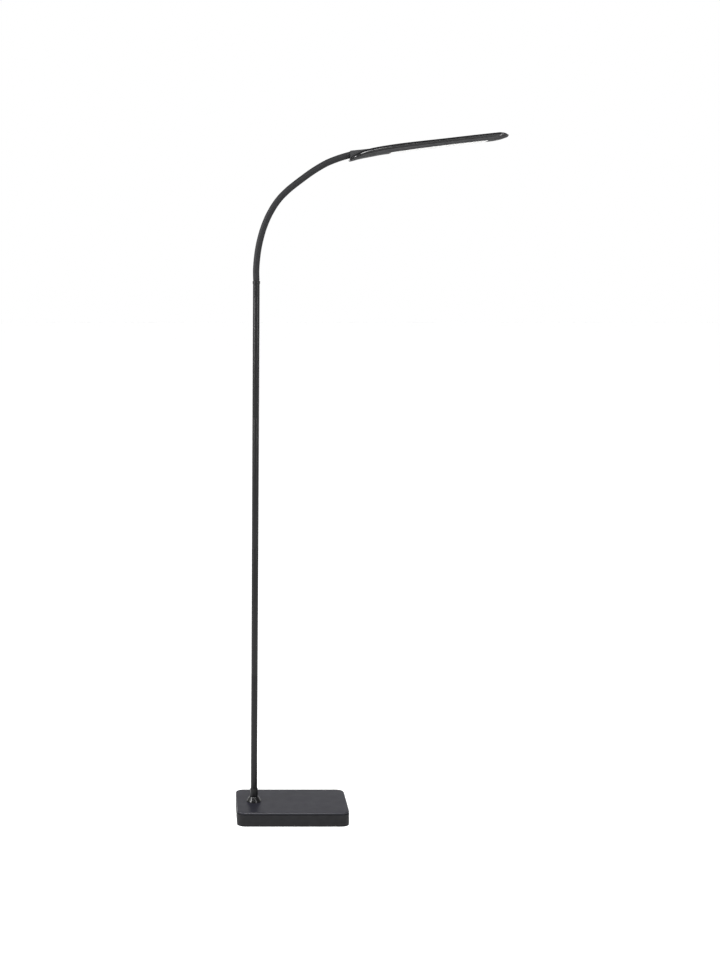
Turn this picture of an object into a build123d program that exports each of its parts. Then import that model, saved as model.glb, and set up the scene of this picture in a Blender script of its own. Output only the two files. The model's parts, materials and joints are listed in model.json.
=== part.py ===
from build123d import *
import math
import os

# Gooseneck reading floor lamp, in millimetres.
# The origin is on the pole's axis at the floor. +Z is up, and +X runs along the
# base's long side, the way the lamp head points.

# Clearances
slip = 0.1                  # beside pieces that slide or drop into each other
thread_gap = 0.05           # beside a screw's shank, in its threaded hole
loose = 1.0                 # round posts and shoulders that only pass through a plate
curve_gap = 0.07            # between two curved faces, one lying on the other

# Base
base_length = 270.0         # along X
base_depth = 180.0          # along Y
base_height = 34.5          # floor to the top of the lid
base_corner = 20.0          # corner radius seen from above
pole_inset = 43.0           # pole axis from the base's near end
pad_thickness = 2.0
pad_inset = 8.0             # pad edge from the base's outline
tub_wall = 2.5
tub_floor = 2.5
tub_bottom_edge = 5.0       # radius round the tub's bottom edge
lid_thickness = 4.0
lid_edge = 2.2              # radius round the lid's top edge
shadow_gap = 2.0            # height of the groove between the tub and the lid
shadow_depth = 1.5
skirt_depth = 5.0           # how far the lid's skirt reaches into the tub
skirt_wall = 2.0
skirt_gap = 0.3             # between the skirt and the tub's wall
weight_thickness = 12.0
weight_inset = 8.5          # ballast edge from the base's outline

# Screws in the base and the head. Head and recess are shares of the shank's radius.
screw_head_share = 2.0
screw_recess_share = 0.8
screw_recess_depth = 0.6    # share of the head's height
lid_screw_radius = 2.0
lid_screw_length = 12.0
lid_post_radius = 4.5
lid_post_inset = 17.0       # post centre from the base's outline
weight_screw_radius = 2.4
weight_screw_length = 9.0
weight_screw_inset = 45.0
screw_head_height = 2.2
head_screw_radius = 1.25
head_screw_length = 8.0
head_screw_head_height = 1.4

# Pole foot
stud_flange_radius = 20.0
stud_flange_thickness = 4.0
stud_shoulder_radius = 10.0
stud_shoulder_height = 15.0
stud_shoulder_wall = 2.0
stud_foot_radius = 6.0      # the thread through the ballast
stud_nut_width = 18.0       # across its flats
stud_nut_height = 6.0
washer_radius = 11.5
washer_thickness = 1.5
nut_pocket_radius = 13.0
nut_pocket_play = 0.5       # under the nut
stud_slot_width = 6.4       # way in for the lead, through the shoulder's side
stud_slot_height = 8.0
collar_foot_radius = 18.0
collar_top_radius = 10.5
collar_height = 12.5
collar_rim = 1.5
collar_wall = 2.0
foot_sleeve_radius = 9.4
foot_sleeve_height = 19.5
foot_sleeve_gap = 0.6       # dark ring between the collar and the sleeve
foot_sleeve_chamfer = 0.6

# Power inlet
inlet_across = 20.0         # its place along Y
inlet_height = 15.0
inlet_flange_radius = 6.5
inlet_flange_thickness = 1.2
inlet_body_radius = 5.4
inlet_body_length = 20.0
inlet_bore_radius = 3.0
inlet_bore_depth = 11.0
inlet_pin_radius = 1.0
inlet_pin_recess = 1.0      # pin's tip inside the socket's mouth
inlet_nut_radius = 8.0
inlet_nut_thickness = 3.0
inlet_slot_width = 20.0
inlet_slot_length = 62.0

# Pole
pole_radius = 8.0
pole_wall = 1.0
pole_tubes = 4
pole_section = 313.9        # each of the three lower tubes
top_section = 284.1         # the uppermost tube
tube_end_chamfer = 0.4
insert_stud_radius = 5.0
insert_stud_length = 20.0
insert_plug_length = 22.0
bush_length = 42.0
bush_recess = 0.5           # bush end from its tube's end
pin_radius = 1.2
pin_bite = 1.0              # metal left between the pin and the bush's thread
pin_height = 36.0           # above the tube's lower end
pin_angle = -64.0           # round the pole, from +X towards +Y
top_bush_length = 20.0
lead_bore_radius = 2.4

# Lower end fitting of the neck
ferrule_length = 30.5
ferrule_ring_length = 7.1
ferrule_ring_radius = 8.8
ferrule_ring_edge = 1.2

# Gooseneck: twelve links from hinge to hinge
link_length = 33.1
last_link_length = 30.1     # from the last hinge to the head's connector
neck_radius = 7.5
sleeve_wall = 1.4
cup_wall = 1.1              # core left round the ball
neck_bore_radius = 3.0
ball_gap = 0.08
bend_limit = 24.0           # degrees either way from straight, at each hinge
edge_gap = 0.3              # between the edges of two sleeves at that limit
cup_rim = 1.0               # cup's rim above the hinge's centre
# Forward bend at each hinge with the lamp at rest, from straight up to the head.
# Every third hinge bends sideways only, and is straight at rest.
rest_bends = [0.0, 8.5, 0.0, 8.0, 12.0, 0.0, 17.0, 8.5, 0.0, 5.0, 13.0, 0.0]

# Head: a thin blade that curves down at its neck end
head_half_width = 38.0
head_slope = 6.8            # rise of the straight stretch, in degrees
head_straight = 292.0
lip_curve_radius = 220.0
lip_bend = 21.5             # degrees that the neck end curves down
curve_end_reach = 75.6      # from the neck's end to where the curve meets the
curve_end_rise = 13.0       # straight stretch, on the parting line
shell_rise = 7.6            # parting line to the top
shell_bevel = 8.0           # how far in the flank leans over that rise
frame_drop = 7.0            # parting line to the underside
head_wall = 1.8
end_overrun = 5.0           # trimmed off both ends by the outline from above
head_corner = 28.0
diffuser_start = 100.0      # from the lip, along the blade
diffuser_tip_gap = 50.5     # its far end from the tip
diffuser_margin = 4.0       # its edge from the head's side
diffuser_proud = 0.8
diffuser_flange = 1.8
diffuser_flange_thickness = 1.5
diffuser_thickness = 1.8    # of the lens itself
diffuser_corner = 6.0
heat_plate_thickness = 2.1
heat_plate_margin = 11.0    # its edge from the head's side
led_board_thickness = 1.6
led_board_margin = 14.0
led_board_end_margin = 6.0  # its ends from the diffuser's ends
chip_size = 3.5
chip_height = 0.8
chip_rows = 2
chip_columns = 20
chip_row_spread = 22.0
control_board_length = 26.0
control_board_half_width = 16.0
control_board_thickness = 1.6
control_board_start = -21.0  # from the curve's end, along the blade
control_board_rest = 0.3    # over the frame's floor
touch_pad_radius = 8.0
touch_pad_thickness = 0.5
touch_pad_gap = 0.2         # under the shell, which curves over it
head_post_radius = 3.0
head_post_inset = 10.0      # post centre from the head's side
head_post_near = 7.0        # near pair, before the diffuser
head_post_far = 30.0        # far pair, from the tip
connector_length = 46.6
connector_side = 3.5        # its wall beside the neck
connector_cover = 1.9       # its wall over the neck
connector_slope = 6.8       # rise of its top, in degrees
connector_bore_depth = 19.0
sleeve_socket_depth = 3.0
connector_screw_inset = 25.6  # from the face that the neck enters
connector_screw_across = 7.3
neck_way_gap = 0.3          # round the neck, where it passes the shell

# Lead, held inside the lamp all the way
lead_radius = 1.6
lead_level = 0.4            # share of the room between the stud's flange and the lid
lead_foot_bend = 10.0
lead_neck_bend = 60.0
lead_head_bend = 18.0
lead_ramp_bend = 16.0       # both bends of the ramp up from the inlet
lead_turn_bend = 40.0       # both turns over the ballast
lead_inlet_run = 11.4       # straight out of the inlet
lead_ramp_run = 19.0        # along X, over the ramp
lead_aim_x = 30.0           # where it lines up with the pole
lead_end_gap = 0.5          # before the control board
lead_end_drop = 1.0         # below the parting line

# Levels and places that follow from the sizes above
tub_top = base_height - lid_thickness - shadow_gap
lid_bottom = base_height - lid_thickness
base_centre_x = base_length / 2 - pole_inset
base_end_x = base_length - pole_inset
floor_top = pad_thickness + tub_floor
weight_top = floor_top + weight_thickness
flange_top = weight_top + stud_flange_thickness
shoulder_top = flange_top + stud_shoulder_height
nut_low = floor_top + nut_pocket_play
washer_low = nut_low + stud_nut_height
washer_top = washer_low + washer_thickness
lead_height = flange_top + (lid_bottom - flange_top) * lead_level
tube_bore = pole_radius - pole_wall
bush_outer = tube_bore - thread_gap
foot_seams = [shoulder_top + pole_section * tube for tube in range(pole_tubes)]
pole_top = foot_seams[-1] + top_section
tube_ends = foot_seams + [pole_top]
core_radius = neck_radius - sleeve_wall
ball_radius = core_radius - cup_wall
half_gap = neck_radius * math.tan(math.radians(bend_limit / 2)) + edge_gap  # sleeve end to hinge
neck_start = pole_top + ferrule_length + ferrule_ring_length + half_gap
last_link = len(rest_bends) - 1

lid_post_places = [
    (
        base_centre_x + end * (base_length / 2 - lid_post_inset),
        side * (base_depth / 2 - lid_post_inset),
    )
    for end in (-1, 0, 1)
    for side in (-1, 1)
]
weight_screw_places = [
    (
        base_centre_x + end * (base_length / 2 - weight_screw_inset),
        side * (base_depth / 2 - weight_screw_inset),
    )
    for end in (-1, 1)
    for side in (-1, 1)
]

# Hinge places and link directions along the neck
link_angles = []
hinges = [(0.0, neck_start)]
steepness = 90.0
for bend in rest_bends:
    steepness -= bend
    link_angles.append(steepness)
    x, z = hinges[-1]
    across = link_length * math.cos(math.radians(steepness))
    rise = link_length * math.sin(math.radians(steepness))
    hinges.append((x + across, z + rise))
last_angle = math.radians(link_angles[last_link])

# The face of the connector that the neck enters, and the end of the head's curve
face_x = hinges[last_link][0] + last_link_length * math.cos(last_angle)
face_z = hinges[last_link][1] + last_link_length * math.sin(last_angle)
curve_end_x = face_x + curve_end_reach
curve_end_z = face_z + curve_end_rise
connector_half_width = neck_radius + connector_side

# The blade's own axes: along it, across it and up from its parting line
slope = math.radians(head_slope)
blade_section = Plane(
    origin=(curve_end_x, 0, curve_end_z),
    x_dir=(0, 1, 0),
    z_dir=(math.cos(slope), 0, math.sin(slope)),
)
blade = Plane(
    origin=(curve_end_x, 0, curve_end_z),
    x_dir=(math.cos(slope), 0, math.sin(slope)),
    z_dir=(-math.sin(slope), 0, math.cos(slope)),
)
lip_curve_centre = (
    curve_end_x + lip_curve_radius * math.sin(slope),
    curve_end_z - lip_curve_radius * math.cos(slope),
)
lip_curve_length = lip_curve_radius * math.radians(lip_bend)
head_length = lip_curve_length + head_straight
diffuser_end = head_length - diffuser_tip_gap


# Where a solid sits on its own origin
standing = (Align.CENTER, Align.CENTER, Align.MIN)
hanging = (Align.CENTER, Align.CENTER, Align.MAX)


def head_point(along, above):
    """X and Z of a point on the head: a distance from the lip, and one above the parting line."""
    past_curve = max(along - lip_curve_length, 0)
    turn = max(lip_curve_length - along, 0) / lip_curve_radius
    lean = slope + turn
    radius = lip_curve_radius + above
    x = lip_curve_centre[0] - radius * math.sin(lean) + past_curve * math.cos(slope)
    z = lip_curve_centre[1] + radius * math.cos(lean) + past_curve * math.sin(slope)
    return x, z


def ring(outer, inner, low, high):
    """Upright tube on the pole's axis between two levels."""
    return Pos(0, 0, (low + high) / 2) * (Cylinder(outer, high - low) - Cylinder(inner, high - low))


def disc(radius, low, high):
    """Upright cylinder on the pole's axis between two levels."""
    return Pos(0, 0, (low + high) / 2) * Cylinder(radius, high - low)


def side_prism(points, half_width):
    """Outline drawn in X and Z, as thick as twice the half width along Y."""
    outline = Polyline(*[(x, 0, z) for x, z in points], close=True)
    return extrude(make_face(outline), amount=half_width, dir=(0, 1, 0), both=True)


def screw(radius, head_height, length):
    """Countersunk screw with its flat head at Z = 0 and its shank upwards."""
    head = Cone(screw_head_share * radius, radius, head_height, align=standing)
    shank = Cylinder(radius, length, align=standing)
    recess = extrude(RegularPolygon(screw_recess_share * radius, 6), head_height * screw_recess_depth)
    return head + shank - recess


def screw_hole(radius, head_height, length, gap):
    """Space for a countersunk screw: its seat and its shank with a gap round it."""
    seat = Cone(screw_head_share * radius + gap, radius + gap, head_height, align=standing)
    return seat + Cylinder(radius + gap, length, align=standing)


def base_slab(inset, low, high):
    """Slab with the base's rounded outline, drawn in from it, between two levels."""
    outline = RectangleRounded(
        base_length - 2 * inset, base_depth - 2 * inset, base_corner - inset
    )
    return Pos(base_centre_x, 0, low) * extrude(outline, high - low)


def inlet_axis(x):
    """Place on the inlet's axis, whose Z runs out of the base's end face."""
    return Plane(origin=(x, inlet_across, inlet_height), x_dir=(0, 1, 0), z_dir=(1, 0, 0))


def place_all(solid, places, low):
    """Copies of one solid at a list of places on one level."""
    return [Pos(x, y, low) * solid for x, y in places]


# Base

def make_base_pad():
    return base_slab(pad_inset, 0, pad_thickness)


def make_base_tub():
    block = base_slab(0, pad_thickness, tub_top)
    block = fillet(block.edges().group_by(Axis.Z)[0], tub_bottom_edge)
    pocket = base_slab(tub_wall, floor_top, tub_top)
    pocket = fillet(pocket.edges().group_by(Axis.Z)[0], tub_bottom_edge - tub_wall)
    tub = block - pocket
    lid_hole = screw_hole(lid_screw_radius, screw_head_height, lid_screw_length, slip)
    weight_hole = screw_hole(weight_screw_radius, screw_head_height, weight_screw_length, slip)
    tub -= place_all(lid_hole, lid_post_places, pad_thickness)
    tub -= place_all(weight_hole, weight_screw_places, pad_thickness)
    tub -= inlet_axis(base_end_x) * Cylinder(inlet_body_radius + slip, 4 * tub_wall)
    return tub


def make_base_lid():
    skirt_outer = tub_wall + skirt_gap
    skirt_bottom = tub_top - skirt_depth
    plate = base_slab(0, lid_bottom, base_height)
    plate = fillet(plate.edges().group_by(Axis.Z)[-1], lid_edge)
    step = base_slab(shadow_depth, tub_top, lid_bottom)
    skirt = base_slab(skirt_outer, skirt_bottom, tub_top)
    hollow = base_slab(skirt_outer + skirt_wall, skirt_bottom, lid_bottom)
    post = Cylinder(lid_post_radius, lid_bottom - floor_top, align=standing)
    thread = Cylinder(lid_screw_radius + thread_gap, lid_screw_length, align=standing)
    # Way round the inlet and its nut, for a base so low that the skirt reaches down to them
    nut_way = Cylinder(inlet_nut_radius + skirt_gap, inlet_body_length, align=hanging)
    lid = plate + (step + skirt - inlet_axis(base_end_x - tub_wall) * nut_way) - hollow
    lid += place_all(post, lid_post_places, floor_top)
    lid -= place_all(thread, lid_post_places, pad_thickness + slip)
    return lid - disc(stud_shoulder_radius + loose, lid_bottom, base_height)


def make_base_weight():
    plate = base_slab(weight_inset, floor_top, weight_top)
    post_hole = Cylinder(lid_post_radius + loose, weight_thickness, align=standing)
    thread = Cylinder(weight_screw_radius + thread_gap, weight_screw_length, align=standing)
    plate -= place_all(post_hole, lid_post_places, floor_top)
    plate -= place_all(thread, weight_screw_places, pad_thickness)
    plate -= disc(stud_foot_radius + slip, floor_top, weight_top)
    plate -= disc(nut_pocket_radius, floor_top, washer_top)
    slot = Box(
        inlet_slot_length, inlet_slot_width, weight_thickness, align=(Align.MAX, Align.CENTER, Align.MIN)
    )
    return plate - Pos(base_end_x, inlet_across, floor_top) * slot


def make_lid_screws():
    one = screw(lid_screw_radius, screw_head_height, lid_screw_length)
    return place_all(one, lid_post_places, pad_thickness)


def make_weight_screws():
    one = screw(weight_screw_radius, screw_head_height, weight_screw_length)
    return place_all(one, weight_screw_places, pad_thickness)


def make_pole_stud():
    stud = disc(stud_flange_radius, weight_top, flange_top)
    stud += disc(stud_shoulder_radius, flange_top, shoulder_top)
    stud += disc(stud_foot_radius, nut_low, weight_top)
    stud += disc(insert_stud_radius, shoulder_top, shoulder_top + insert_stud_length)
    stud -= disc(
        stud_shoulder_radius - stud_shoulder_wall, flange_top, shoulder_top - stud_shoulder_wall
    )
    stud -= disc(lead_bore_radius, flange_top, shoulder_top + insert_stud_length)
    side_slot = Box(
        stud_shoulder_radius + slip, stud_slot_width, stud_slot_height,
        align=(Align.MIN, Align.CENTER, Align.MIN),
    )
    return stud - Pos(0, 0, flange_top) * side_slot


def make_stud_washer():
    return ring(washer_radius, stud_foot_radius + slip, washer_low, washer_top)


def make_stud_nut():
    blank = extrude(RegularPolygon(stud_nut_width / 2, 6, major_radius=False), stud_nut_height)
    return Pos(0, 0, nut_low) * blank - disc(stud_foot_radius + thread_gap, nut_low, washer_low)


def make_base_collar():
    low = base_height
    top = low + collar_height
    outer = [
        (collar_foot_radius - collar_wall, low),
        (collar_foot_radius, low),
        (collar_foot_radius, low + collar_rim),
        (collar_top_radius, top),
        (pole_radius + slip, top),
        (pole_radius + slip, top - collar_wall),
    ]
    profile = make_face(Polyline(*[(x, 0, z) for x, z in outer], close=True))
    return revolve(profile, Axis.Z)


def make_foot_sleeve():
    low = base_height + collar_height + foot_sleeve_gap
    sleeve = ring(foot_sleeve_radius, pole_radius + slip, low, low + foot_sleeve_height)
    outer_edges = sleeve.edges().filter_by(GeomType.CIRCLE).group_by(SortBy.RADIUS)[-1]
    return chamfer(outer_edges, foot_sleeve_chamfer)


def make_dc_inlet():
    mouth = inlet_flange_thickness
    body = Cylinder(inlet_body_radius, inlet_body_length, align=hanging)
    flange = Cylinder(inlet_flange_radius, inlet_flange_thickness, align=standing)
    bore = Pos(0, 0, mouth) * Cylinder(inlet_bore_radius, inlet_bore_depth, align=hanging)
    pin = Cylinder(inlet_pin_radius, inlet_bore_depth, align=hanging)
    jack = body + flange - bore + Pos(0, 0, mouth - inlet_pin_recess) * pin
    return inlet_axis(base_end_x) * jack


def make_inlet_nut():
    nut = extrude(RegularPolygon(inlet_nut_radius, 6), -inlet_nut_thickness)
    nut -= Cylinder(inlet_body_radius + thread_gap, inlet_nut_thickness, align=hanging)
    return inlet_axis(base_end_x - tub_wall) * nut


# Pole

def make_pole_tube(number):
    tube = ring(pole_radius, tube_bore, tube_ends[number], tube_ends[number + 1])
    outer_edges = tube.edges().filter_by(GeomType.CIRCLE).group_by(SortBy.RADIUS)[-1]
    return chamfer(outer_edges, tube_end_chamfer) - insert_pin(number, slip)


def insert_pin(number, gap):
    """Round pin through a tube's wall into its bush, flush with the tube."""
    axis = Plane(
        origin=(0, 0, foot_seams[number] + pin_height),
        z_dir=(math.cos(math.radians(pin_angle)), math.sin(math.radians(pin_angle)), 0),
    )
    start = insert_stud_radius + pin_bite
    pin = Cylinder(pin_radius + gap, pole_radius - start, align=standing)
    return axis * Pos(0, 0, start) * pin


def make_insert_pins():
    return [insert_pin(number, 0) for number in range(pole_tubes)]


def make_stud_inserts():
    """Plug in the upper end of each lower tube, with the stud that the next tube screws on to."""
    plugs = []
    for seam in foot_seams[1:]:
        plug = disc(bush_outer, seam - insert_plug_length, seam)
        plug += disc(insert_stud_radius, seam, seam + insert_stud_length)
        plug -= disc(lead_bore_radius, seam - insert_plug_length, seam + insert_stud_length)
        plugs.append(plug)
    return plugs


def make_nut_inserts():
    """Threaded bush in the lower end of each tube, and one in the top of the last."""
    thread = insert_stud_radius + thread_gap
    bushes = []
    for number, seam in enumerate(foot_seams):
        bush = ring(bush_outer, thread, seam + bush_recess, seam + bush_recess + bush_length)
        bushes.append(bush - insert_pin(number, slip))
    top = pole_top - bush_recess
    return bushes + [ring(bush_outer, thread, top - top_bush_length, top)]


def make_neck_ferrule():
    body_top = pole_top + ferrule_length
    rim = disc(ferrule_ring_radius, body_top, body_top + ferrule_ring_length)
    rim = fillet(rim.edges().filter_by(GeomType.CIRCLE), ferrule_ring_edge)
    body = disc(pole_radius, pole_top, body_top)
    body = chamfer(body.edges().group_by(Axis.Z)[0], tube_end_chamfer)
    ferrule = body + rim
    ferrule += disc(insert_stud_radius, pole_top - insert_stud_length + bush_recess, pole_top)
    ferrule += Pos(0, 0, neck_start) * Sphere(ball_radius)
    return ferrule - disc(lead_bore_radius, pole_top - insert_stud_length, neck_start + ball_radius)


# Gooseneck

def link_frame(number):
    """Axes of one link: from the hinge at its lower end, Z along the link."""
    x, z = hinges[number]
    angle = math.radians(link_angles[number])
    return Plane(origin=(x, 0, z), x_dir=(0, 1, 0), z_dir=(math.cos(angle), 0, math.sin(angle)))


def make_neck_core(number):
    """Steel core of one link: a cup over the ball below, and a ball at its upper end."""
    last = number == last_link
    top = last_link_length + connector_bore_depth if last else link_length - half_gap
    core = disc(core_radius, cup_rim, top)
    if not last:
        core += Pos(0, 0, link_length) * Sphere(ball_radius)
    core -= Sphere(ball_radius + ball_gap)
    core -= disc(neck_bore_radius, 0, link_length + last_link_length)
    return link_frame(number) * core


def make_neck_sleeve(number):
    """Outer sleeve of one link, from gap to gap; the last one ends in the connector."""
    last = number == last_link
    top = last_link_length + sleeve_socket_depth if last else link_length - half_gap
    return link_frame(number) * ring(neck_radius, core_radius + thread_gap, half_gap, top)


# Head

def blade_block(low, high, inset, bevel):
    """Length of the head between two levels, drawn in all round, its flanks leaning in by the bevel."""
    half = head_half_width - inset
    corners = [(-half, low), (half, low), (half - bevel, high), (bevel - half, high)]
    section = blade_section * make_face(Polyline(*corners, close=True))
    centre = (lip_curve_centre[0], 0, lip_curve_centre[1])
    past_lip = lip_bend + math.degrees(end_overrun / lip_curve_radius)
    curve = revolve(section, Axis(centre, (0, -1, 0)), revolution_arc=past_lip)
    body = extrude(section, head_straight + end_overrun) + curve
    lip_x = head_point(0, 0)[0] + inset
    tip_x = head_point(head_length, 0)[0] - inset
    outline = RectangleRounded(tip_x - lip_x, 2 * half, head_corner - inset)
    plan = Pos((lip_x + tip_x) / 2, 0, curve_end_z - lip_curve_radius) * extrude(
        outline, 2 * lip_curve_radius
    )
    body = body & plan
    if bevel:
        body -= end_bevel(inset, inset + bevel, low, high)
        body -= end_bevel(head_length - inset, head_length - inset - bevel, low, high)
    return body


def end_bevel(end, start, low, high):
    """Wedge off the upper corner of one end of the head."""
    beyond = 2 * end - start
    corners = [head_point(end, low), head_point(start, high)]
    corners += [head_point(start, 2 * high), head_point(beyond, 2 * high)]
    return side_prism(corners, head_half_width)


def head_post_places():
    """Distances along and across the blade of the four posts that close the head."""
    first = diffuser_start - lip_curve_length - head_post_near
    last = head_straight - head_post_far
    across = head_half_width - head_post_inset
    return [(along, side * across) for along in (first, last) for side in (-1, 1)]


def neck_axis_rod(radius, start, end):
    """Rod on the last link's axis, between two distances past its hinge."""
    return link_frame(last_link) * disc(radius, start, end)


def curve_lean(x, above):
    """Slope, in radians, of the curved stretch where it stands at this X, above the parting line."""
    return math.asin((lip_curve_centre[0] - x) / (lip_curve_radius + above))


def curve_point(x, above):
    """Point of the curved stretch at this X, above its parting line."""
    return (x, 0, lip_curve_centre[1] + (lip_curve_radius + above) * math.cos(curve_lean(x, above)))


def connector_block(gap):
    """Upright block between neck and blade, down to the frame's floor."""
    near_x = face_x - gap
    far_x = face_x + connector_length + gap
    middle_x = (near_x + far_x) / 2
    near_foot, middle_foot, far_foot = [
        curve_point(x, head_wall - frame_drop + curve_gap) for x in (near_x, middle_x, far_x)
    ]
    top_z = face_z + neck_radius + connector_cover + gap
    top_rise = (far_x - near_x) * math.tan(math.radians(connector_slope))
    near_top = (near_x, 0, top_z)
    far_top = (far_x, 0, top_z + top_rise)
    outline = [
        ThreePointArc(near_foot, middle_foot, far_foot),
        Line(far_foot, far_top),
        Line(far_top, near_top),
        Line(near_top, near_foot),
    ]
    half_width = connector_half_width + gap
    return extrude(make_face(outline), amount=half_width, dir=(0, 1, 0), both=True)


def make_head_connector():
    block = connector_block(0)
    block -= neck_axis_rod(neck_radius + slip, 0, last_link_length + sleeve_socket_depth + slip)
    block -= neck_axis_rod(core_radius + slip, 0, last_link_length + connector_bore_depth + slip)
    for start, end in zip(lead_head_points()[:-1], lead_head_points()[1:]):
        block -= channel(start, end, neck_bore_radius)
    for place in connector_screw_places():
        block -= place * screw_hole(
            head_screw_radius, head_screw_head_height, head_screw_length, thread_gap
        )
    return block


def channel(start, end, radius):
    """Round-ended hole from one point to another."""
    way = Vector(*end) - Vector(*start)
    hole = Cylinder(radius, way.length, align=standing)
    ball = Sphere(radius)
    return Plane(origin=start, z_dir=way) * hole + Pos(*start) * ball + Pos(*end) * ball


def connector_screw_places():
    """Planes at the head's underside, below the connector's two screws."""
    x, y, z = curve_point(face_x + connector_screw_inset, -frame_drop)
    lean = curve_lean(x, -frame_drop)
    up = (-math.sin(lean), 0, math.cos(lean))
    return [Plane(origin=(x, side * connector_screw_across, z), z_dir=up) for side in (-1, 1)]


def make_connector_screws():
    one = screw(head_screw_radius, head_screw_head_height, head_screw_length)
    return [place * one for place in connector_screw_places()]


def make_head_shell():
    inner_rise = shell_rise - head_wall
    inner_bevel = shell_bevel * inner_rise / shell_rise
    shell = blade_block(0, shell_rise, 0, shell_bevel)
    shell -= blade_block(0, inner_rise, head_wall, inner_bevel)
    for along, across in head_post_places():
        post = Cylinder(head_post_radius, inner_rise + frame_drop - head_wall, align=hanging)
        thread = Cylinder(head_screw_radius + thread_gap, head_screw_length, align=standing)
        shell += blade * Pos(along, across, inner_rise) * post
        shell -= blade * Pos(along, across, -frame_drop) * thread
    shell -= connector_block(slip)
    return shell - neck_axis_rod(neck_radius + neck_way_gap, 0, last_link_length)


def make_head_frame():
    frame = blade_block(-frame_drop, 0, 0, 0)
    frame -= blade_block(head_wall - frame_drop, 0, head_wall, 0)
    frame -= diffuser_window(slip, -frame_drop, head_wall - frame_drop)
    hole = screw_hole(head_screw_radius, head_screw_head_height, head_screw_length, slip)
    for along, across in head_post_places():
        frame -= blade * Pos(along, across, -frame_drop) * hole
    for place in connector_screw_places():
        frame -= place * hole
    return frame


def diffuser_window(grow, low, high):
    """Rounded slab over the light's opening, between two levels of the blade."""
    length = diffuser_end - diffuser_start + 2 * grow
    width = 2 * (head_half_width - diffuser_margin + grow)
    centre = (diffuser_start + diffuser_end) / 2 - lip_curve_length
    outline = RectangleRounded(length, width, diffuser_corner + grow)
    return blade * Pos(centre, 0, low) * extrude(outline, high - low)


def make_head_diffuser():
    floor = head_wall - frame_drop
    lens = diffuser_window(0, -frame_drop - diffuser_proud, floor)
    flange_top = floor + diffuser_flange_thickness
    panel = lens + diffuser_window(diffuser_flange, floor, flange_top)
    lens_top = diffuser_thickness - frame_drop - diffuser_proud
    return panel - diffuser_window(-diffuser_thickness, lens_top, flange_top)


def blade_slab(start, end, half_width, low, high):
    """Plain slab on the straight stretch of the head; start and end count from the curve's end."""
    slab = Box(end - start, 2 * half_width, high - low, align=(Align.MIN, Align.CENTER, Align.MIN))
    return blade * Pos(start, 0, low) * slab


def board_ends():
    """Ends of the light board along the blade, counted from the curve's end."""
    return (
        diffuser_start - lip_curve_length + led_board_end_margin,
        diffuser_end - lip_curve_length - led_board_end_margin,
    )


def make_heat_plate():
    top = shell_rise - head_wall
    start, end = board_ends()
    half_width = head_half_width - heat_plate_margin
    return blade_slab(start, end, half_width, top - heat_plate_thickness, top)


def board_level():
    """Underside of the light board."""
    return shell_rise - head_wall - heat_plate_thickness - led_board_thickness


def make_led_board():
    start, end = board_ends()
    low = board_level()
    half_width = head_half_width - led_board_margin
    return blade_slab(start, end, half_width, low, low + led_board_thickness)


def make_led_chips():
    start, end = board_ends()
    pitch = (end - start) / chip_columns
    chip = Box(chip_size, chip_size, chip_height, align=hanging)
    chips = []
    for column in range(chip_columns):
        for row in range(chip_rows):
            across = (row - (chip_rows - 1) / 2) * chip_row_spread
            chips.append(blade * Pos(start + (column + 0.5) * pitch, across, board_level()) * chip)
    return chips


def make_control_board():
    low = head_wall - frame_drop + control_board_rest
    end = control_board_start + control_board_length
    return blade_slab(
        control_board_start, end, control_board_half_width, low, low + control_board_thickness
    )


def make_touch_pad():
    top = shell_rise - head_wall - touch_pad_gap
    pad = Cylinder(touch_pad_radius, touch_pad_thickness, align=hanging)
    return blade * Pos(0, 0, top) * pad


def make_head_screws():
    one = screw(head_screw_radius, head_screw_head_height, head_screw_length)
    return [blade * Pos(along, across, -frame_drop) * one for along, across in head_post_places()]


# Lead

def lead_head_points():
    """The lead's last points: along the neck's end and down into the head."""
    turn_x = face_x + connector_bore_depth * math.cos(last_angle)
    turn_z = face_z + connector_bore_depth * math.sin(last_angle)
    end = blade.from_local_coords((control_board_start - lead_end_gap, 0, -lead_end_drop))
    return [(turn_x, 0, turn_z), (end.X, end.Y, end.Z)]


def lead_points():
    """The lead's corners from the inlet to the control board."""
    inlet_rear = base_end_x - inlet_body_length
    ramp_start = inlet_rear - lead_inlet_run
    points = [
        (inlet_rear, inlet_across, inlet_height),
        (ramp_start, inlet_across, inlet_height),
        (ramp_start - lead_ramp_run, inlet_across, lead_height),
        (inlet_rear / 2, inlet_across, lead_height),
        (lead_aim_x, 0, lead_height),
        (0, 0, lead_height),
    ]
    for number, bend in enumerate(rest_bends):
        if bend:
            x, z = hinges[number]
            points.append((x, 0, z))
    return points + lead_head_points()


def make_supply_lead():
    points = lead_points()
    radii = [lead_ramp_bend, lead_ramp_bend, lead_turn_bend, lead_turn_bend, lead_foot_bend]
    radii += [lead_neck_bend for bend in rest_bends if bend] + [lead_head_bend]
    path = FilletPolyline(*points, radius=radii)
    start = Plane(origin=path @ 0, z_dir=path % 0)
    lead = sweep(start * Circle(lead_radius), path=path)
    share = lead.volume / (math.pi * lead_radius**2 * path.length)
    print(f"lead length {path.length:.0f} mm, volume over section times length {share:.4f}")
    return lead


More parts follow.
